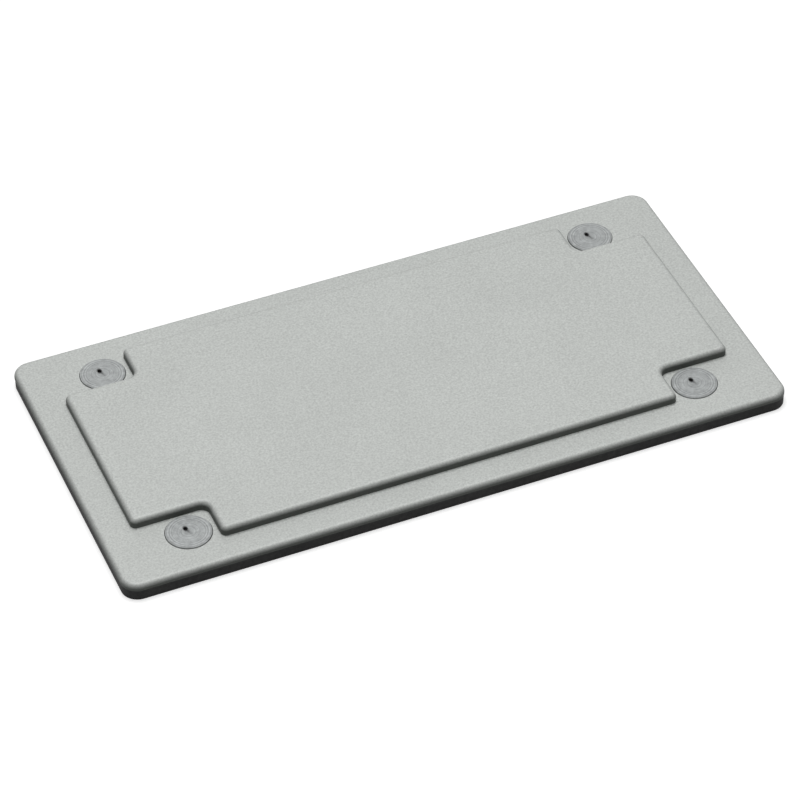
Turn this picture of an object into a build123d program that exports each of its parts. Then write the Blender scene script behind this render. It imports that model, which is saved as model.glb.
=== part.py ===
"""Rectangular cover plate: a light-alloy casting on a rubber gasket, with four blind threaded inserts."""

import os

from build123d import *

os.makedirs("parts", exist_ok=True)

# Driving sizes, in millimetres. The origin is the centre of the gasket's underside,
# X runs along the plate's long side and Z points out of its face.

# Casting: thin border
cover_length = 180.0
cover_width = 90.0
cover_corner = 4.5
border_land = 0.4  # straight rim below the rounding
border_round = 1.4

# Casting: raised panel, with a notch at each corner for an insert
panel_margin_x = 8.5  # from the plate's edge to the panel's wall
panel_margin_y = 8.0
panel_land = 1.3  # straight wall below the rounding
panel_round = 1.4
corner_ease = 0.1  # how much the plan radius exceeds the rounding
notch_corner = 2.4
notch_gap_x = 1.1  # from an insert's seat to the notch's cross wall
notch_gap_y = 0.3  # from an insert's seat to the notch's long wall

# Casting: underside
casting_wall = 2.0
casting_draft = 2.0  # degrees, on the pocket and the ribs
inner_corner = 0.6  # least plan radius inside
rib_thickness = 1.6
rib_height = 1.9
rib_pitch = 27.0
rib_count = 5
boss_wall = 2.3

# Gasket
gasket_thickness = 3.0
gasket_inset = 0.1
gasket_setback = 0.2  # from the casting's pocket to the gasket's window
gasket_hole_gap = 0.3  # round each boss

# Threaded inserts
fixing_edge_x = 21.0  # from the plate's edge to an insert's centre
fixing_edge_y = 13.0
pad_diameter = 11.8
pad_height = 1.3
pad_proud = 0.3
pad_edge = 0.15
seat_gap = 0.1  # round the pad, in its seat
body_diameter = 8.4
body_fit = 0.02  # round the body, in its bore
body_edge = 0.4
insert_setback = 0.4  # from the gasket's underside to the insert's end
tap_diameter = 4.2  # tapping size of an M5 thread
tap_depth = 3.1
tap_mouth = 0.4
pit_diameter = 1.2
pit_depth = 0.7
pit_taper = 12.0  # degrees
pit_x = -0.4
pit_y = 1.2
trail_width = 0.5
trail_depth = 0.15

# Heights, diameters and lengths that follow
border_base = gasket_thickness
border_thickness = border_land + border_round
border_top = border_base + border_thickness
panel_length = cover_length - 2 * panel_margin_x
panel_width = cover_width - 2 * panel_margin_y
panel_height = panel_land + panel_round
panel_top = border_top + panel_height
panel_corner = panel_round + corner_ease
pocket_ceiling = panel_top - casting_wall
fixing_spacing_x = cover_length - 2 * fixing_edge_x
fixing_spacing_y = cover_width - 2 * fixing_edge_y
insert_top = border_top + pad_proud
insert_bottom = insert_setback
seat_floor = insert_top - pad_height
seat_diameter = pad_diameter + 2 * seat_gap
bore_diameter = body_diameter + 2 * body_fit
boss_diameter = bore_diameter + 2 * boss_wall
notch_length = (panel_length - fixing_spacing_x + seat_diameter) / 2 + notch_gap_x
notch_width = (panel_width - fixing_spacing_y + seat_diameter) / 2 + notch_gap_y


def notched_outline(inset):
    """The raised panel's outline, moved inwards by inset: a rectangle with its four corners cut out."""
    length = panel_length - 2 * inset
    width = panel_width - 2 * inset
    waist_length = length - 2 * notch_length
    waist_width = width - 2 * notch_width
    corner = max(panel_corner - inset, inner_corner)
    with BuildSketch() as outline:
        RectangleRounded(length, waist_width, corner)
        RectangleRounded(waist_length, width, corner)
        crossings = outline.vertices().filter_by(
            lambda v: abs(v.X) < (waist_length + corner) / 2 and abs(v.Y) < (waist_width + corner) / 2
        )
        fillet(crossings, notch_corner + inset)
    return outline.sketch


# Cover plate, one casting
with BuildPart() as cover_plate:
    # border, with its rounded outer edge
    with BuildSketch(Plane.XY.offset(border_base)):
        RectangleRounded(cover_length, cover_width, cover_corner)
    extrude(amount=border_thickness)
    fillet(cover_plate.faces().sort_by(Axis.Z)[-1].outer_wire().edges(), border_round)

    # raised panel
    with BuildSketch(Plane.XY.offset(border_top)):
        add(notched_outline(0))
    extrude(amount=panel_height)
    fillet(cover_plate.faces().sort_by(Axis.Z)[-1].outer_wire().edges(), panel_round)

    # pocket behind the panel, which keeps the wall even
    with BuildSketch(Plane.XY.offset(border_base)):
        add(notched_outline(casting_wall))
    extrude(amount=pocket_ceiling - border_base, taper=casting_draft, mode=Mode.SUBTRACT)

    # ribs on the pocket's ceiling, which run into its walls
    with BuildSketch(Plane.XY.offset(pocket_ceiling)):
        Rectangle(panel_length - casting_wall, rib_thickness)
        with GridLocations(rib_pitch, 0, rib_count, 1):
            Rectangle(rib_thickness, panel_width - casting_wall)
    extrude(amount=-rib_height, taper=casting_draft)

    # bosses for the inserts, which pass through the gasket
    with BuildSketch(Plane.XY.offset(border_base)):
        with GridLocations(fixing_spacing_x, fixing_spacing_y, 2, 2):
            Circle(boss_diameter / 2)
    extrude(amount=insert_bottom - border_base)

    # stepped seats for the inserts
    with Locations(Plane.XY.offset(border_top)):
        with GridLocations(fixing_spacing_x, fixing_spacing_y, 2, 2):
            CounterBoreHole(bore_diameter / 2, seat_diameter / 2, border_top - seat_floor)

cover_plate.part.label = "cover_plate"
export_step(cover_plate.part, "parts/cover_plate.step")

# Gasket, one sheet with a window behind the pocket and a hole for each boss
with BuildPart() as gasket:
    with BuildSketch():
        RectangleRounded(
            cover_length - 2 * gasket_inset, cover_width - 2 * gasket_inset, cover_corner - gasket_inset
        )
        add(notched_outline(casting_wall - gasket_setback), mode=Mode.SUBTRACT)
        with GridLocations(fixing_spacing_x, fixing_spacing_y, 2, 2):
            Circle(boss_diameter / 2 + gasket_hole_gap, mode=Mode.SUBTRACT)
    extrude(amount=gasket_thickness)

gasket.part.label = "gasket"
export_step(gasket.part, "parts/gasket.step")

# Threaded inserts, one at each corner of the plate
insert_places = {
    "front_left": (-1, -1),
    "front_right": (1, -1),
    "rear_left": (-1, 1),
    "rear_right": (1, 1),
}

for place, (side_x, side_y) in insert_places.items():
    insert_x = side_x * fixing_spacing_x / 2
    insert_y = side_y * fixing_spacing_y / 2
    pad_radius = pad_diameter / 2
    body_radius = body_diameter / 2
    tap_radius = tap_diameter / 2
    tap_end = insert_bottom + tap_depth

    with BuildPart() as threaded_insert:
        # turned blank: pad, body and blind tapped hole
        with BuildSketch(Plane((insert_x, insert_y, 0), x_dir=(1, 0, 0), z_dir=(0, -1, 0))):
            with BuildLine():
                Polyline(
                    (0, insert_top),
                    (pad_radius - pad_edge, insert_top),
                    (pad_radius, insert_top - pad_edge),
                    (pad_radius, seat_floor),
                    (body_radius, seat_floor),
                    (body_radius, insert_bottom + body_edge),
                    (body_radius - body_edge, insert_bottom),
                    (tap_radius + tap_mouth, insert_bottom),
                    (tap_radius, insert_bottom + tap_mouth),
                    (tap_radius, tap_end),
                    (0, tap_end),
                    close=True,
                )
            make_face()
        revolve(axis=Axis((insert_x, insert_y, 0), (0, 0, 1)))

        # small pit beside the turning centre, with a shallow trail across it
        with BuildSketch(Plane((insert_x + pit_x, insert_y + pit_y, insert_top))):
            Circle(pit_diameter / 2)
        extrude(amount=-pit_depth, taper=pit_taper, mode=Mode.SUBTRACT)
        with BuildSketch(Plane((insert_x, insert_y, insert_top))):
            SlotCenterPoint((0, 0), (pit_x, pit_y), trail_width)
        extrude(amount=-trail_depth, mode=Mode.SUBTRACT)

    threaded_insert.part.label = "threaded_insert_" + place
    export_step(threaded_insert.part, "parts/threaded_insert_" + place + ".step")
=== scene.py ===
from math import atan2, ceil, cos, pi, radians, sin, tan

import bmesh
import bpy
from mathutils import Matrix, Vector


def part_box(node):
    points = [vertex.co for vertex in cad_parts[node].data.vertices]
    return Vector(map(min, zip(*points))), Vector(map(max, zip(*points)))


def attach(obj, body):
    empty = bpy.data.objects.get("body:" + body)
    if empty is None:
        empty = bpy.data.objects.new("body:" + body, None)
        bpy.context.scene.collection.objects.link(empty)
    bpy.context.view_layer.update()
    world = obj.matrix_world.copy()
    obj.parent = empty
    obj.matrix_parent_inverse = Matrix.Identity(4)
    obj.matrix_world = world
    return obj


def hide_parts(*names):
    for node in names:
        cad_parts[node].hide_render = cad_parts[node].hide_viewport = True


# Rectangular cover plate: a blasted light-alloy casting on a rubber gasket, with four turned inserts
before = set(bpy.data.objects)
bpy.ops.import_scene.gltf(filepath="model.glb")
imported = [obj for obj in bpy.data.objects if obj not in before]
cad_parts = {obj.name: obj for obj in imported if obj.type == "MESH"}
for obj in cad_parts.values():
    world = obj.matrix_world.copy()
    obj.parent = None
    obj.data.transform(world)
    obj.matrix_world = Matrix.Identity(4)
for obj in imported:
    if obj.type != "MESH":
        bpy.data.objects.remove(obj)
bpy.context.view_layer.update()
scene = bpy.context.scene
mm = 0.001
creaseAngle = radians(30)  # edges that turn further than this stay crisp
mergeDistance = 0.001 * mm
samePlane = 0.0001 * mm

plateLow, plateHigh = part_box("cover_plate")
gasketLow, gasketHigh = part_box("gasket")
insertNodes = sorted(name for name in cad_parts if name.startswith("threaded_insert"))
insertLow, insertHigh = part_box(insertNodes[-1])  # the rear right one
insertX, insertY = ((insertLow + insertHigh) / 2).xy
padRadius = (insertHigh.x - insertLow.x) / 2
print("frame: nodes", len(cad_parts), "size in mm", [round(v / mm, 2) for v in plateHigh - plateLow])


# Mesh helpers

def finishPiece(name, bm):  # mesh object at the origin, smooth with crisp edges
    bmesh.ops.remove_doubles(bm, verts=bm.verts[:], dist=mergeDistance)
    bmesh.ops.recalc_face_normals(bm, faces=bm.faces[:])
    mesh = bpy.data.meshes.new(name)
    bm.to_mesh(mesh)
    bm.free()
    piece = bpy.data.objects.new(name, mesh)
    scene.collection.objects.link(piece)
    smoothShade(piece)
    return piece


def smoothShade(piece):
    if piece.data.has_custom_normals:  # a boolean leaves stale ones, which would hide the crisp edges
        piece.data.attributes.remove(piece.data.attributes["custom_normal"])
    piece.data.shade_smooth()
    piece.data.set_sharp_from_angle(angle=creaseAngle)
    weighted = piece.modifiers.new("flatFaceNormals", "WEIGHTED_NORMAL")
    weighted.keep_sharp = True


def filletedFace(bm, corners, z, steps=10):  # flat face from (x, y, plan radius) corners
    verts = [bm.verts.new((x, y, z)) for x, y, radius in corners]
    bm.faces.new(verts)
    before = set(bm.verts) - set(verts)
    for radius in sorted({radius for x, y, radius in corners}):
        chosen = [v for v, corner in zip(verts, corners) if corner[2] == radius]
        bmesh.ops.bevel(bm, geom=chosen, offset=radius, offset_type="OFFSET", segments=steps, profile=0.5,
                        affect="VERTICES", material=-1)
    return next(face for face in bm.faces if not before.intersection(face.verts))


def roundedFace(bm, halfX, halfY, radius, z):
    signs = ((-1, -1), (1, -1), (1, 1), (-1, 1))
    return filletedFace(bm, [(sx * halfX, sy * halfY, radius) for sx, sy in signs], z, steps=14)


def climb(bm, face, steps):  # moves a face through (inset, rise) steps, leaving a wall behind it
    for inset, rise in steps:
        bmesh.ops.inset_region(bm, faces=[face], thickness=inset, depth=rise, use_boundary=True,
                               use_even_offset=True)
    return face


def rounding(radius, flatFirst=False, count=8):  # (inset, rise) steps round a quarter circle
    angles = [pi / 2 * i / count for i in range(count + 1)]
    upright = [(radius * (1 - cos(a)), radius * sin(a)) for a in angles]
    points = [(b, a) for a, b in upright] if flatFirst else upright
    return [(q[0] - p[0], q[1] - p[1]) for p, q in zip(points, points[1:])]


def fillPlane(bm, z):  # fills between the open loops that lie at one height
    edges = [e for e in bm.edges
             if len(e.link_faces) < 2 and all(abs(v.co.z - z) < samePlane for v in e.verts)]
    made = bmesh.ops.triangle_fill(bm, edges=edges, use_beauty=True, use_dissolve=False)
    return [item for item in made["geom"] if isinstance(item, bmesh.types.BMFace)]


# Spins (radius, z) points round an upright axis, as a screw if each turn has a lead
def turnProfile(bm, x, y, points, steps=72, turns=1, lead=0):
    verts = [bm.verts.new((x + radius, y, z)) for radius, z in points]
    edges = [bm.edges.new(pair) for pair in zip(verts, verts[1:])]
    bmesh.ops.spin(bm, geom=verts + edges, cent=(x, y, 0), axis=(0, 0, 1), dvec=(0, 0, lead / steps),
                   angle=2 * pi * turns, steps=steps * turns, use_merge=(lead == 0), use_duplicate=False)


def combine(piece, tool, operation):  # joins or cuts with another closed mesh, and bakes the result
    boolean = piece.modifiers.new("combine", "BOOLEAN")
    boolean.operation = operation
    boolean.solver = "MANIFOLD"
    boolean.object = tool
    piece.modifiers.remove(piece.modifiers["flatFaceNormals"])
    bpy.context.view_layer.update()
    result = bpy.data.meshes.new_from_object(piece.evaluated_get(bpy.context.evaluated_depsgraph_get()))
    piece.modifiers.clear()
    piece.data = result
    result.name = piece.name
    bpy.data.objects.remove(tool)
    smoothShade(piece)


# Cast plate: border, notched panel, seats and bosses, pocket with ribs

plate = {
    "corner": 4.5 * mm, "edgeRound": 1.4 * mm,
    "padProud": 0.3 * mm, "marginX": 8.5 * mm, "marginY": 8.0 * mm,
    "panelRound": 1.4 * mm, "panelCorner": 1.5 * mm, "notchCorner": 2.4 * mm,
    "notchGapX": 1.1 * mm, "notchGapY": 0.3 * mm, "footFillet": 0.12 * mm,
    "seatGap": 0.1 * mm, "seatDepth": 1.0 * mm, "seatEdge": 0.05 * mm,
    "boreRadius": 4.22 * mm, "bossRadius": 6.52 * mm, "bossEdge": 0.15 * mm,
    "wall": 2.0 * mm, "innerCorner": 0.75 * mm, "draft": 2.0,
    "mouthRound": 0.15 * mm, "ceilingFillet": 0.4 * mm,
    "ribWidth": 1.6 * mm, "ribHeight": 1.9 * mm, "ribPitch": 27 * mm, "ribCount": 5,
    "ribFillet": 0.4 * mm, "ribFlare": 1.2, "ribTipRound": 0.2 * mm, "ribSink": 0.02 * mm,
    "pinRadius": 2.0 * mm, "pinRise": 0.1 * mm, "pinY": 17 * mm,
}
borderBase = gasketHigh.z
borderTop = insertHigh.z - plate["padProud"]
ceilingZ = plateHigh.z - plate["wall"]
panelHalfX = plateHigh.x - plate["marginX"]
panelHalfY = plateHigh.y - plate["marginY"]
seatRadius = padRadius + plate["seatGap"]
waistX = insertX - seatRadius - plate["notchGapX"]
waistY = insertY - seatRadius - plate["notchGapY"]
insertSpots = [(sx * insertX, sy * insertY) for sx in (-1, 1) for sy in (-1, 1)]


def notchedFace(bm, inset, z):  # the panel's outline, moved inwards by inset
    farX, farY, nearX, nearY = panelHalfX - inset, panelHalfY - inset, waistX - inset, waistY - inset
    out = max(plate["panelCorner"] - inset, plate["innerCorner"])
    into = plate["notchCorner"] + inset
    quarter = [(farX, nearY, out), (nearX, nearY, into), (nearX, farY, out)]
    corners = quarter + [(-x, y, r) for x, y, r in reversed(quarter)]
    corners += [(-x, -y, r) for x, y, r in corners]
    return filletedFace(bm, corners, z)


def buildPlate():
    bm = bmesh.new()
    edge = roundedFace(bm, plateHigh.x, plateHigh.y, plate["corner"], borderBase)
    climb(bm, edge, [(0, borderTop - borderBase - plate["edgeRound"])] + rounding(plate["edgeRound"]))
    bmesh.ops.delete(bm, geom=[edge], context="FACES_ONLY")

    foot = plate["footFillet"]
    panel = notchedFace(bm, -foot, borderTop)
    upright = plateHigh.z - borderTop - foot - plate["panelRound"]
    climb(bm, panel, rounding(foot, flatFirst=True, count=4) + [(0, upright)]
          + rounding(plate["panelRound"]))

    seatFloor = borderTop - plate["seatDepth"]
    bossEnd, lip, cut = insertLow.z, plate["seatEdge"], plate["bossEdge"]
    for x, y in insertSpots:
        turnProfile(bm, x, y, [
            (seatRadius + lip, borderTop), (seatRadius, borderTop - lip), (seatRadius, seatFloor),
            (plate["boreRadius"], seatFloor), (plate["boreRadius"], bossEnd),
            (plate["bossRadius"] - cut, bossEnd), (plate["bossRadius"], bossEnd + cut),
            (plate["bossRadius"], borderBase),
        ])
    fillPlane(bm, borderTop)

    mouth, fillet = plate["mouthRound"], plate["ceilingFillet"]
    pocket = notchedFace(bm, plate["wall"] - mouth, borderBase)
    rise = ceilingZ - borderBase - mouth - fillet
    lean = rise * tan(radians(plate["draft"]))
    climb(bm, pocket, rounding(mouth, flatFirst=True, count=3) + [(lean, rise)] + rounding(fillet, count=5))
    fillPlane(bm, borderBase)
    return finishPiece("castPlate", bm)


def ribBar(bm, length):  # a tapered rib along X with a rounded tip, flared where it meets the ceiling
    fillet, tipRound = plate["ribFillet"], plate["ribTipRound"]
    tipZ, rootZ, buried = ceilingZ - plate["ribHeight"], ceilingZ + plate["ribSink"], ceilingZ + fillet
    root = plate["ribWidth"] / 2
    tip = root - plate["ribHeight"] * tan(radians(plate["draft"]))
    flare = root + plate["ribFlare"] * fillet
    side = [(flare, buried, 0), (flare, rootZ, 0), (root, rootZ, fillet), (tip, tipZ, tipRound)]
    section = side + [(-x, z, r) for x, z, r in reversed(side)]
    verts = [bm.verts.new((-length / 2, x, z)) for x, z, r in section]
    bm.faces.new(verts)
    for radius in (fillet, tipRound):
        chosen = [v for v, corner in zip(verts, section) if corner[2] == radius]
        bmesh.ops.bevel(bm, geom=chosen, offset=radius, offset_type="OFFSET", segments=4, profile=0.5,
                        affect="VERTICES", material=-1)
    face = next(f for f in bm.faces if all(abs(v.co.x + length / 2) < samePlane for v in f.verts))
    swept = bmesh.ops.extrude_face_region(bm, geom=[face])
    moved = [v for v in swept["geom"] if isinstance(v, bmesh.types.BMVert)]
    bmesh.ops.translate(bm, verts=moved, vec=(length, 0, 0))


def crossRibs():  # the ribs across the plate, with an ejector pin mark in each bay
    bm = bmesh.new()
    spread = (plate["ribCount"] - 1) / 2
    ribBar(bm, 2 * panelHalfY - plate["wall"])
    bmesh.ops.rotate(bm, verts=bm.verts[:], cent=(0, 0, 0), matrix=Matrix.Rotation(pi / 2, 3, "Z"))
    first = bm.verts[:] + bm.edges[:] + bm.faces[:]
    bmesh.ops.translate(bm, verts=bm.verts[:], vec=(-spread * plate["ribPitch"], 0, 0))
    for i in range(1, plate["ribCount"]):
        copy = bmesh.ops.duplicate(bm, geom=first)
        verts = [v for v in copy["geom"] if isinstance(v, bmesh.types.BMVert)]
        bmesh.ops.translate(bm, verts=verts, vec=(i * plate["ribPitch"], 0, 0))
    depth = plate["ribFillet"] + plate["pinRise"]
    for i in range(plate["ribCount"] + 1):
        for side in (-1, 1):
            place = Vector(((i - spread - 0.5) * plate["ribPitch"], side * plate["pinY"],
                            ceilingZ + plate["ribFillet"] - depth / 2))
            bmesh.ops.create_cone(bm, cap_ends=True, segments=40, radius1=plate["pinRadius"],
                                  radius2=plate["pinRadius"], depth=depth, matrix=Matrix.Translation(place))
    return finishPiece("crossRibs", bm)


def longRib():
    bm = bmesh.new()
    ribBar(bm, 2 * panelHalfX - plate["wall"])
    return finishPiece("longRib", bm)


castPlate = buildPlate()
combine(castPlate, crossRibs(), "UNION")
combine(castPlate, longRib(), "UNION")
print("cast plate:", len(castPlate.data.polygons), "faces")


# Gasket: one cut sheet, with a window behind the pocket and a hole for each boss

gasket = {
    "corner": 4.4 * mm, "setback": 0.2 * mm, "holeGap": 0.3 * mm,
    "edgeSoftness": 0.12 * mm, "rimAngle": 1.2,
}


def buildGasket():
    bm = bmesh.new()
    outer = roundedFace(bm, gasketHigh.x, gasketHigh.y, gasket["corner"], gasketLow.z)
    window = notchedFace(bm, plate["wall"] - gasket["setback"], gasketLow.z)
    bmesh.ops.delete(bm, geom=[outer, window], context="FACES_ONLY")
    hole = plate["bossRadius"] + gasket["holeGap"]
    for x, y in insertSpots:
        bmesh.ops.create_circle(bm, cap_ends=False, segments=72, radius=hole,
                                matrix=Matrix.Translation((x, y, gasketLow.z)))
    sheet = fillPlane(bm, gasketLow.z)
    raised = bmesh.ops.extrude_face_region(bm, geom=sheet, use_keep_orig=True)
    top = [v for v in raised["geom"] if isinstance(v, bmesh.types.BMVert)]
    bmesh.ops.translate(bm, verts=top, vec=(0, 0, gasketHigh.z - gasketLow.z))
    bm.normal_update()
    rims = [e for e in bm.edges if len(e.link_faces) == 2 and abs(e.calc_face_angle()) > gasket["rimAngle"]]
    bmesh.ops.bevel(bm, geom=rims, offset=gasket["edgeSoftness"], offset_type="OFFSET", segments=3,
                    profile=0.5, affect="EDGES", material=-1)
    return finishPiece("gasketSheet", bm)


gasketSheet = buildGasket()
print("gasket:", len(gasketSheet.data.polygons), "faces")


# Inserts: turned pads with a pit and a trail, and a blind thread below

insert = {
    "padHeight": 1.3 * mm, "padEdge": 0.15 * mm, "bodyRadius": 4.2 * mm, "bodyEdge": 0.4 * mm,
    "ringPitch": 0.42 * mm, "ringDepth": 0.006 * mm, "tapDepth": 3.1 * mm,
    "minorRadius": 2.1 * mm, "majorRadius": 2.5 * mm, "threadPitch": 0.8 * mm, "mouth": 0.12 * mm,
    "flankStart": 0.75, "grooveStart": 0.44, "grooveEnd": 0.31,
    "pitX": -0.4 * mm, "pitY": 1.2 * mm, "pitRadius": 0.6 * mm, "pitFloor": 0.42 * mm, "pitDepth": 0.7 * mm,
    "trailLength": 1.7 * mm, "trailWidth": 0.3 * mm, "trailDepth": 0.06 * mm,
}


def padProfile():  # fine turned rings from the centre out, then the rim
    flatRadius = padRadius - insert["padEdge"]
    rings = int(flatRadius / insert["ringPitch"]) * 2
    face = [(0, insertHigh.z)]
    for i in range(1, rings):
        face.append((flatRadius * i / rings, insertHigh.z - (i % 2) * insert["ringDepth"]))
    return face + [(flatRadius, insertHigh.z), (padRadius, insertHigh.z - insert["padEdge"])]


def buildInsert(name, x, y):
    seat = insertHigh.z - insert["padHeight"]
    bottom, body, cut = insertLow.z, insert["bodyRadius"], insert["bodyEdge"]
    threadStart = bottom + insert["mouth"]
    threadEnd = bottom + insert["tapDepth"]
    minor, major, pitch = insert["minorRadius"], insert["majorRadius"], insert["threadPitch"]
    bm = bmesh.new()
    turnProfile(bm, x, y, [  # one thread pitch, wound up past both ends, then cut off flat
        (minor, bottom - pitch), (minor, bottom - insert["flankStart"] * pitch),
        (major, bottom - insert["grooveStart"] * pitch), (major, bottom - insert["grooveEnd"] * pitch),
        (minor, bottom),
    ], steps=48, turns=ceil(insert["tapDepth"] / pitch) + 2, lead=pitch)
    bmesh.ops.remove_doubles(bm, verts=bm.verts[:], dist=mergeDistance)
    for z, up in ((threadStart, -1), (threadEnd, 1)):
        bmesh.ops.bisect_plane(bm, geom=bm.verts[:] + bm.edges[:] + bm.faces[:], dist=samePlane,
                               plane_co=(0, 0, z), plane_no=(0, 0, up), clear_outer=True)
    turnProfile(bm, x, y, padProfile() + [
        (padRadius, seat), (body, seat), (body, bottom + cut), (body - cut, bottom),
        (major + 2 * insert["mouth"], bottom), (major + insert["mouth"], threadStart),
    ], steps=96)
    fillPlane(bm, threadStart)
    fillPlane(bm, threadEnd)
    return finishPiece(name, bm)


def buildPit(x, y):  # a punched pit beside the turning centre
    bm = bmesh.new()
    depth = 2 * insert["pitDepth"]
    slope = (insert["pitRadius"] - insert["pitFloor"]) / insert["pitDepth"]
    bmesh.ops.create_cone(bm, cap_ends=True, segments=32, radius1=insert["pitFloor"],
                          radius2=insert["pitFloor"] + slope * depth, depth=depth,
                          matrix=Matrix.Translation((x + insert["pitX"], y + insert["pitY"], insertHigh.z)))
    return finishPiece("pit", bm)


def buildTrail(x, y):  # the shallow trail that the punch left across the turning centre
    bm = bmesh.new()
    turn = Matrix.Rotation(atan2(insert["pitY"], insert["pitX"]), 4, "Z")
    shape = Matrix.Diagonal((insert["trailLength"], insert["trailWidth"], insert["trailDepth"], 1))
    bmesh.ops.create_uvsphere(bm, u_segments=32, v_segments=16, radius=1,
                              matrix=Matrix.Translation((x, y, insertHigh.z)) @ turn @ shape)
    return finishPiece("trail", bm)


turnedInserts = []
for node in insertNodes:
    low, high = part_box(node)
    x, y = ((low + high) / 2).xy
    place = node.removeprefix("threaded_insert").title().replace("_", "")
    piece = buildInsert("turnedInsert" + place, x, y)
    combine(piece, buildPit(x, y), "DIFFERENCE")
    combine(piece, buildTrail(x, y), "DIFFERENCE")
    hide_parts(node)
    turnedInserts.append(piece)
print("inserts:", [len(piece.data.polygons) for piece in turnedInserts], "faces")

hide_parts("cover_plate")
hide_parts("gasket")


# Material helpers

# Makes a node and sets its properties, then its inputs, each to a plain value or to a link
def addNode(tree, kind, values=None, **settings):
    made = tree.nodes.new("ShaderNode" + kind)
    for name, value in settings.items():
        setattr(made, name, value)
    for name, value in (values or {}).items():
        if isinstance(value, bpy.types.NodeSocket):
            tree.links.new(value, made.inputs[name])
        else:
            made.inputs[name].default_value = value
    return made


def newGroup(name, inputs, outputs):  # inputs and outputs are {name: (socket type, value)}
    group = bpy.data.node_groups.new(name, "ShaderNodeTree")
    for direction, sockets in (("INPUT", inputs), ("OUTPUT", outputs)):
        for label, (kind, value) in sockets.items():
            socket = group.interface.new_socket(label, in_out=direction, socket_type="NodeSocket" + kind)
            if value is not None:
                socket.default_value = value
    return group, group.nodes.new("NodeGroupInput").outputs, group.nodes.new("NodeGroupOutput").inputs


def useGroup(tree, group, values):
    return addNode(tree, "Group", values, node_tree=group).outputs


def mixColor(tree, factor, first, second):
    return addNode(tree, "Mix", {0: factor, 6: first, 7: second}, data_type="RGBA").outputs[2]


def emptyTree(owner):  # the node tree of a material or a world, with nothing in it yet
    owner.use_nodes = True
    owner.node_tree.nodes.clear()
    return owner.node_tree


def newMaterial(name, values):  # a material with its Principled BSDF, and the object's own coordinates
    material = bpy.data.materials.new(name)
    tree = emptyTree(material)
    shader = addNode(tree, "BsdfPrincipled", values)
    addNode(tree, "OutputMaterial", {"Surface": shader.outputs["BSDF"]})
    return material, tree, shader, addNode(tree, "TexCoord").outputs["Object"]


# Shared effects

def grainGroup():  # blasted or moulded grain at two sizes, and a cloudy tone that drifts over the surface
    group, given, result = newGroup(
        "surfaceGrain",
        {"Vector": ("Vector", None), "Grain Scale": ("Float", 2500.0), "Speck Ratio": ("Float", 0.4),
         "Cloud Scale": ("Float", 60.0)},
        {"Height": ("Float", None), "Speck": ("Float", None), "Tone": ("Float", None)})
    grain = addNode(group, "TexNoise", {"Vector": given["Vector"], "Scale": given["Grain Scale"],
                                        "Detail": 3.0, "Roughness": 0.6})
    coarse = addNode(group, "Math", {0: given["Grain Scale"], 1: given["Speck Ratio"]},
                     operation="MULTIPLY")
    speck = addNode(group, "TexNoise", {"Vector": given["Vector"], "Scale": coarse.outputs[0],
                                        "Detail": 3.0, "Roughness": 0.65})
    cloud = addNode(group, "TexNoise", {"Vector": given["Vector"], "Scale": given["Cloud Scale"],
                                        "Detail": 3.0, "Roughness": 0.5})
    height = addNode(group, "Math", {0: grain.outputs[0], 1: speck.outputs[0]}, operation="ADD")
    group.links.new(height.outputs[0], result["Height"])
    group.links.new(speck.outputs[0], result["Speck"])
    group.links.new(cloud.outputs[0], result["Tone"])
    return group


def edgeGroup():  # 1 on tight convex edges and 0 on flats: the turn between true and rounded-off normals
    group, given, result = newGroup(
        "softEdge",
        {"Radius": ("Float", 0.4 * mm), "Flat Match": ("Float", 0.999), "Edge Match": ("Float", 0.97)},
        {"Mask": ("Float", None)})
    bevel = addNode(group, "Bevel", {"Radius": given["Radius"]}, samples=6)
    geometry = addNode(group, "NewGeometry")
    match = addNode(group, "VectorMath", {0: bevel.outputs[0], 1: geometry.outputs["Normal"]},
                    operation="DOT_PRODUCT")
    mask = addNode(group, "MapRange", {0: match.outputs["Value"], 1: given["Flat Match"],
                                       2: given["Edge Match"], 3: 0.0, 4: 1.0})
    group.links.new(mask.outputs[0], result["Mask"])
    return group


def wallGroup():  # 0 on faces that lie flat, 1 on upright walls
    group, given, result = newGroup("uprightWall", {"Flat": ("Float", 0.75), "Upright": ("Float", 0.2)},
                                    {"Mask": ("Float", None)})
    geometry = addNode(group, "NewGeometry")
    turned = addNode(group, "SeparateXYZ", {0: geometry.outputs["Normal"]})
    level = addNode(group, "Math", {0: turned.outputs["Z"]}, operation="ABSOLUTE")
    mask = addNode(group, "MapRange", {0: level.outputs[0], 1: given["Flat"], 2: given["Upright"],
                                       3: 0.0, 4: 1.0})
    group.links.new(mask.outputs[0], result["Mask"])
    return group


surfaceGrain, softEdge, uprightWall = grainGroup(), edgeGroup(), wallGroup()


# Materials

noiseLow, noiseHigh = 0.32, 0.68  # nearly all of a noise lies between these


def around(value, spread):  # a tone that strays from 1 by up to the spread
    return {0: value, 1: noiseLow, 2: noiseHigh, 3: 1 - spread, 4: 1 + spread}


castAlloy = {
    "color": (0.56, 0.58, 0.56, 1), "wornColor": (0.63, 0.65, 0.63, 1),
    # painted shade: the near-black colour below is given to upright walls and steep fillets, for the shade
    # on faces turned from the light
    "skinColor": (0.07, 0.078, 0.07, 1), "skinFlat": 0.97, "skinUpright": 0.1,
    "metallic": 0.2, "roughness": 0.6, "smoothSpeck": 0.3, "roughSpeck": 0.7, "roughnessSpread": 0.07,
    # wear and painted highlight: how far convex edges are lightened
    "edgeRadius": 0.5 * mm, "wear": 0.35,
    "grainScale": 4600.0, "cloudScale": 45.0, "grainDepth": 0.012 * mm,
    "speckSpread": 0.17, "toneSpread": 0.02,
    # painted shade: creases and wall feet are darkened through an ambient occlusion mask
    "dirtReach": 0.25 * mm, "dirt": 0.3, "dirtClosed": 0.4, "dirtOpen": 0.85,
}


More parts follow.
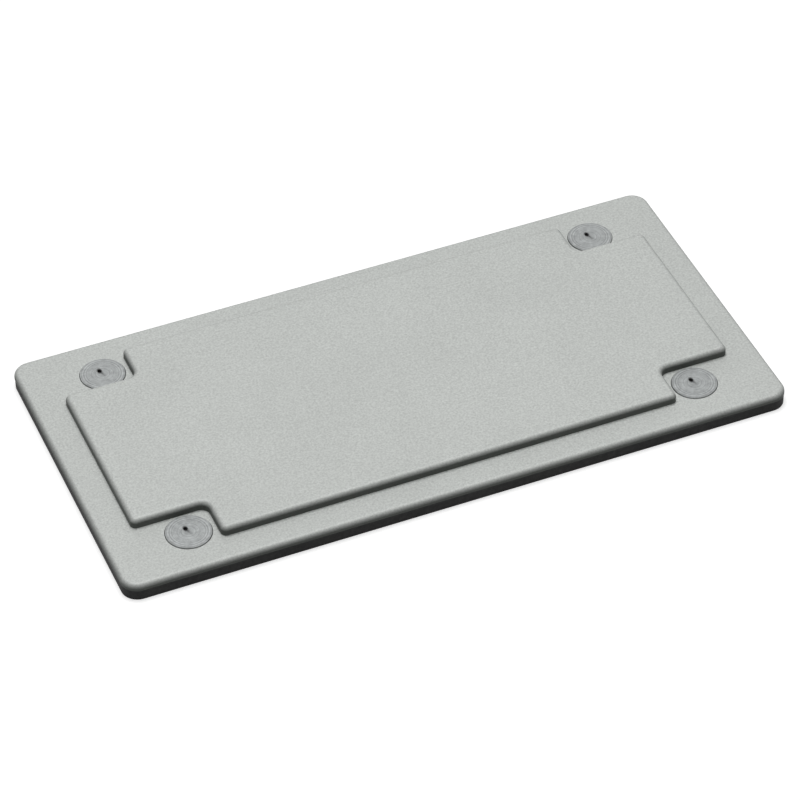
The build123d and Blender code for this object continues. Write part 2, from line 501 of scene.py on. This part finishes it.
def makeCastAlloy():
    material, tree, shader, place = newMaterial("blastedAlloy", {
        "Metallic": castAlloy["metallic"], "Roughness": castAlloy["roughness"]})
    grain = useGroup(tree, surfaceGrain, {"Vector": place, "Grain Scale": castAlloy["grainScale"],
                                          "Cloud Scale": castAlloy["cloudScale"]})
    wall = useGroup(tree, uprightWall, {"Flat": castAlloy["skinFlat"], "Upright": castAlloy["skinUpright"]})
    edge = useGroup(tree, softEdge, {"Radius": castAlloy["edgeRadius"]})
    tone = addNode(tree, "MapRange", around(grain["Tone"], castAlloy["toneSpread"]))
    speck = addNode(tree, "MapRange", around(grain["Speck"], castAlloy["speckSpread"]))
    shade = addNode(tree, "Math", {0: tone.outputs[0], 1: speck.outputs[0]}, operation="MULTIPLY")
    # partly wear, partly painted highlight: convex edges are lightened towards a paler colour
    wear = addNode(tree, "Math", {0: edge["Mask"], 1: castAlloy["wear"]}, operation="MULTIPLY")
    wornAndHighlit = mixColor(tree, wear.outputs[0], castAlloy["color"], castAlloy["wornColor"])
    # painted shade: steep faces are mixed towards a near-black colour by how upright they are
    wallShaded = mixColor(tree, wall["Mask"], wornAndHighlit, castAlloy["skinColor"])
    # painted shade: the colour is darkened where ambient occlusion finds a crease
    corner = addNode(tree, "AmbientOcclusion", {"Distance": castAlloy["dirtReach"]}, samples=8)
    creaseShading = addNode(tree, "MapRange", {0: corner.outputs["AO"], 1: castAlloy["dirtClosed"],
                                       2: castAlloy["dirtOpen"], 3: 1 - castAlloy["dirt"], 4: 1.0})
    level = addNode(tree, "Math", {0: shade.outputs[0], 1: creaseShading.outputs[0]}, operation="MULTIPLY")
    color = addNode(tree, "VectorMath", {0: wallShaded, "Scale": level.outputs[0]}, operation="SCALE")
    rough = addNode(tree, "MapRange", {0: grain["Speck"], 1: castAlloy["smoothSpeck"],
                                       2: castAlloy["roughSpeck"],
                                       3: castAlloy["roughness"] - castAlloy["roughnessSpread"],
                                       4: castAlloy["roughness"] + castAlloy["roughnessSpread"]})
    bump = addNode(tree, "Bump", {"Height": grain["Height"], "Distance": castAlloy["grainDepth"],
                                  "Strength": 1.0})
    tree.links.new(color.outputs[0], shader.inputs["Base Color"])
    tree.links.new(rough.outputs[0], shader.inputs["Roughness"])
    tree.links.new(bump.outputs[0], shader.inputs["Normal"])
    return material


turnedSteel = {
    "color": (0.36, 0.375, 0.375, 1), "stain": (0.012, 0.012, 0.012, 1),
    "roughness": 0.5, "metallic": 0.35,
    "ringScale": 3000.0, "ringDetail": 2.0, "ringFineness": 0.7, "ringSpread": 0.25,
    "ringDepth": 0.012 * mm,
    "patchScale": 900.0, "patchDetail": 3.0, "patchFineness": 0.6, "patchSpread": 0.18,
    # painted shade: a near-black patch in and around the pit, and a dark tail fading along the trail
    "stainRadius": 0.4 * mm, "stainSoftness": 0.4 * mm, "stainSqueeze": (1, 0.6, 1),
    "tailWidth": 0.7 * mm, "tailLength": 2.8 * mm, "tailStrength": 1.3,
}


def makeTurnedSteel():
    material, tree, shader, place = newMaterial("turnedSteel", {
        "Metallic": turnedSteel["metallic"], "Roughness": turnedSteel["roughness"]})
    split = addNode(tree, "SeparateXYZ", {0: place})
    offsets = {}
    for axis, centre in (("X", insertX), ("Y", insertY)):  # distance from the nearest insert's axis
        side = addNode(tree, "Math", {0: split.outputs[axis]}, operation="SIGN")
        middle = addNode(tree, "Math", {0: side.outputs[0], 1: centre}, operation="MULTIPLY")
        offset = addNode(tree, "Math", {0: split.outputs[axis], 1: middle.outputs[0]}, operation="SUBTRACT")
        offsets[axis] = offset.outputs[0]
    local = addNode(tree, "CombineXYZ", offsets)
    radius = addNode(tree, "VectorMath", {0: local.outputs[0]}, operation="LENGTH").outputs["Value"]
    rings = addNode(tree, "TexNoise", {
        "W": radius, "Scale": turnedSteel["ringScale"], "Detail": turnedSteel["ringDetail"],
        "Roughness": turnedSteel["ringFineness"]}, noise_dimensions="1D")
    patch = addNode(tree, "TexNoise", {
        "Vector": place, "Scale": turnedSteel["patchScale"], "Detail": turnedSteel["patchDetail"],
        "Roughness": turnedSteel["patchFineness"]})
    tones = [addNode(tree, "MapRange", around(noise.outputs[0], turnedSteel[name])).outputs[0]
             for noise, name in ((rings, "ringSpread"), (patch, "patchSpread"))]
    shade = addNode(tree, "Math", {0: tones[0], 1: tones[1]}, operation="MULTIPLY")
    # painted shade: near-black in and around the pit and along the trail towards the turning centre
    fromPit = addNode(tree, "VectorMath", {0: local.outputs[0], 1: (insert["pitX"], insert["pitY"], 0)},
                      operation="SUBTRACT")
    squeezed = addNode(tree, "VectorMath", {0: fromPit.outputs[0], 1: turnedSteel["stainSqueeze"]},
                       operation="MULTIPLY")
    pitOffset = addNode(tree, "VectorMath", {0: squeezed.outputs[0]}, operation="LENGTH")
    pitShading = addNode(tree, "MapRange", {
        0: pitOffset.outputs["Value"], 1: turnedSteel["stainRadius"],
        2: turnedSteel["stainRadius"] + turnedSteel["stainSoftness"], 3: 1.0, 4: 0.0})
    reach = Vector((-insert["pitX"], -insert["pitY"], 0)).normalized()  # from the pit to the turning centre
    along = addNode(tree, "VectorMath", {0: fromPit.outputs[0], 1: reach}, operation="DOT_PRODUCT")
    cross = addNode(tree, "VectorMath", {0: fromPit.outputs[0], 1: reach}, operation="CROSS_PRODUCT")
    across = addNode(tree, "VectorMath", {0: cross.outputs[0]}, operation="LENGTH")
    thin = addNode(tree, "MapRange", {0: across.outputs["Value"], 1: 0.0, 2: turnedSteel["tailWidth"],
                                      3: 1.0, 4: 0.0})
    fade = addNode(tree, "MapRange", {0: along.outputs["Value"], 1: 0.0, 2: turnedSteel["tailLength"],
                                      3: turnedSteel["tailStrength"], 4: 0.0})
    ahead = addNode(tree, "Math", {0: along.outputs["Value"], 1: 0.0}, operation="GREATER_THAN")
    tail = thin.outputs[0]
    for part in (fade, ahead):
        tail = addNode(tree, "Math", {0: tail, 1: part.outputs[0]}, operation="MULTIPLY").outputs[0]
    dark = addNode(tree, "Math", {0: pitShading.outputs[0], 1: tail}, operation="MAXIMUM")
    metal = addNode(tree, "VectorMath", {0: turnedSteel["color"][:3], "Scale": shade.outputs[0]},
                    operation="SCALE")
    color = mixColor(tree, dark.outputs[0], metal.outputs[0], turnedSteel["stain"])
    bump = addNode(tree, "Bump", {"Height": rings.outputs[0], "Distance": turnedSteel["ringDepth"],
                                  "Strength": 1.0})
    tree.links.new(color, shader.inputs["Base Color"])
    tree.links.new(bump.outputs[0], shader.inputs["Normal"])
    return material


rubber = {
    "color": (0.056, 0.057, 0.056, 1), "roughness": 0.8, "specular": 0.3,
    "grainScale": 1800.0, "cloudScale": 90.0, "grainDepth": 0.03 * mm,
    "toneSpread": 0.15, "speckSpread": 0.25,
}


def makeRubber():
    material, tree, shader, place = newMaterial("mattRubber", {
        "Roughness": rubber["roughness"], "Specular IOR Level": rubber["specular"]})
    grain = useGroup(tree, surfaceGrain, {"Vector": place, "Grain Scale": rubber["grainScale"],
                                          "Cloud Scale": rubber["cloudScale"]})
    tone = addNode(tree, "MapRange", around(grain["Tone"], rubber["toneSpread"]))
    speck = addNode(tree, "MapRange", around(grain["Speck"], rubber["speckSpread"]))
    shade = addNode(tree, "Math", {0: tone.outputs[0], 1: speck.outputs[0]}, operation="MULTIPLY")
    color = addNode(tree, "VectorMath", {0: rubber["color"][:3], "Scale": shade.outputs[0]},
                    operation="SCALE")
    bump = addNode(tree, "Bump", {"Height": grain["Height"], "Distance": rubber["grainDepth"],
                                  "Strength": 1.0})
    tree.links.new(color.outputs[0], shader.inputs["Base Color"])
    tree.links.new(bump.outputs[0], shader.inputs["Normal"])
    return material


def dress(piece, material):
    piece.data.materials.clear()
    piece.data.materials.append(material)
    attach(piece, "root")


dress(castPlate, makeCastAlloy())
dress(gasketSheet, makeRubber())
steel = makeTurnedSteel()
for piece in turnedInserts:
    dress(piece, steel)
print("materials:", len(bpy.data.materials))


# Floor, light and camera

studio = {
    "floorSize": 8.0, "floorDrop": 0.02 * mm,
    "floorColor": (0.7, 0.7, 0.7, 1), "floorBounce": (0.3, 0.3, 0.3, 1),
    "floorGlow": 0.62, "glowStart": 0.25, "glowEnd": 0.7, "ambient": 0.08,
    "keyPower": 9.9, "keySize": 0.7, "keyDistance": 1.2, "keyTilt": 7.0,
}


def seenRays(tree):  # 1 for rays that show a background: camera, glossy and transmission
    path = addNode(tree, "LightPath")
    seen = path.outputs["Is Camera Ray"]
    for name in ("Is Glossy Ray", "Is Transmission Ray"):
        seen = addNode(tree, "Math", {0: seen, 1: path.outputs[name]}, operation="MAXIMUM").outputs[0]
    return seen


def makeFloor():
    bm = bmesh.new()
    bmesh.ops.create_grid(bm, x_segments=1, y_segments=1, size=studio["floorSize"] / 2,
                          matrix=Matrix.Translation((0, 0, -studio["floorDrop"])))
    mesh = bpy.data.meshes.new("floor")
    bm.to_mesh(mesh)
    bm.free()
    floor = bpy.data.objects.new("floor", mesh)
    scene.collection.objects.link(floor)
    material = bpy.data.materials.new("paleFloor")
    tree = emptyTree(material)
    matt = addNode(tree, "BsdfDiffuse", {"Color": studio["floorColor"]})
    dim = addNode(tree, "BsdfDiffuse", {"Color": studio["floorBounce"]})
    place = addNode(tree, "TexCoord").outputs["Object"]
    distance = addNode(tree, "VectorMath", {0: place}, operation="LENGTH")
    level = addNode(tree, "MapRange", {0: distance.outputs["Value"], 1: studio["glowStart"],
                                       2: studio["glowEnd"], 3: studio["floorGlow"], 4: 1.0})
    glow = addNode(tree, "Emission", {"Color": (1, 1, 1, 1), "Strength": level.outputs[0]})
    bright = addNode(tree, "AddShader", {0: matt.outputs[0], 1: glow.outputs[0]})
    mix = addNode(tree, "MixShader", {0: seenRays(tree), 1: dim.outputs[0], 2: bright.outputs[0]})
    addNode(tree, "OutputMaterial", {"Surface": mix.outputs[0]})
    mesh.materials.append(material)


def makeWorld():
    world = bpy.data.worlds.new("studio")
    scene.world = world
    tree = emptyTree(world)
    ambient = addNode(tree, "Background", {"Color": (1, 1, 1, 1), "Strength": studio["ambient"]})
    white = addNode(tree, "Background", {"Color": (1, 1, 1, 1), "Strength": 1.0})
    mix = addNode(tree, "MixShader", {0: seenRays(tree), 1: ambient.outputs[0], 2: white.outputs[0]})
    addNode(tree, "OutputWorld", {"Surface": mix.outputs[0]})


def makeLamp(name, power, size, distance, direction):  # a square soft box that faces the part
    lamp = bpy.data.lights.new(name, "AREA")
    lamp.energy = power
    lamp.shape = "SQUARE"
    lamp.size = size
    stand = bpy.data.objects.new(name, lamp)
    stand.location = Vector(direction).normalized() * distance
    stand.rotation_euler = (-Vector(direction)).to_track_quat("-Z", "Y").to_euler()
    scene.collection.objects.link(stand)


makeFloor()
makeWorld()
tilt = radians(studio["keyTilt"])
makeLamp("keyLight", studio["keyPower"], studio["keySize"], studio["keyDistance"],
         (0, sin(tilt), cos(tilt)))

view = {
    "azimuth": -21.763, "elevation": 41.749, "roll": -1.212, "distance": 0.99848,
    "sensor": 36.0, "lens": 174.385, "shiftX": 0.002655, "shiftY": -0.009115, "clipStart": 0.01,
}


def makeCamera():
    camera = bpy.data.cameras.new("camera")
    camera.sensor_width = view["sensor"]
    camera.lens = view["lens"]
    camera.shift_x = view["shiftX"]
    camera.shift_y = view["shiftY"]
    camera.clip_start = view["clipStart"]
    stand = bpy.data.objects.new("camera", camera)
    azimuth, elevation = radians(view["azimuth"]), radians(view["elevation"])
    back = Vector((sin(azimuth) * cos(elevation), -cos(azimuth) * cos(elevation), sin(elevation)))
    turn = (-back).to_track_quat("-Z", "Y").to_matrix() @ Matrix.Rotation(radians(view["roll"]), 3, "Z")
    stand.matrix_world = Matrix.Translation(back * view["distance"]) @ turn.to_4x4()
    scene.collection.objects.link(stand)
    scene.camera = stand


makeCamera()
scene.view_settings.view_transform = "Standard"
print("studio ready")
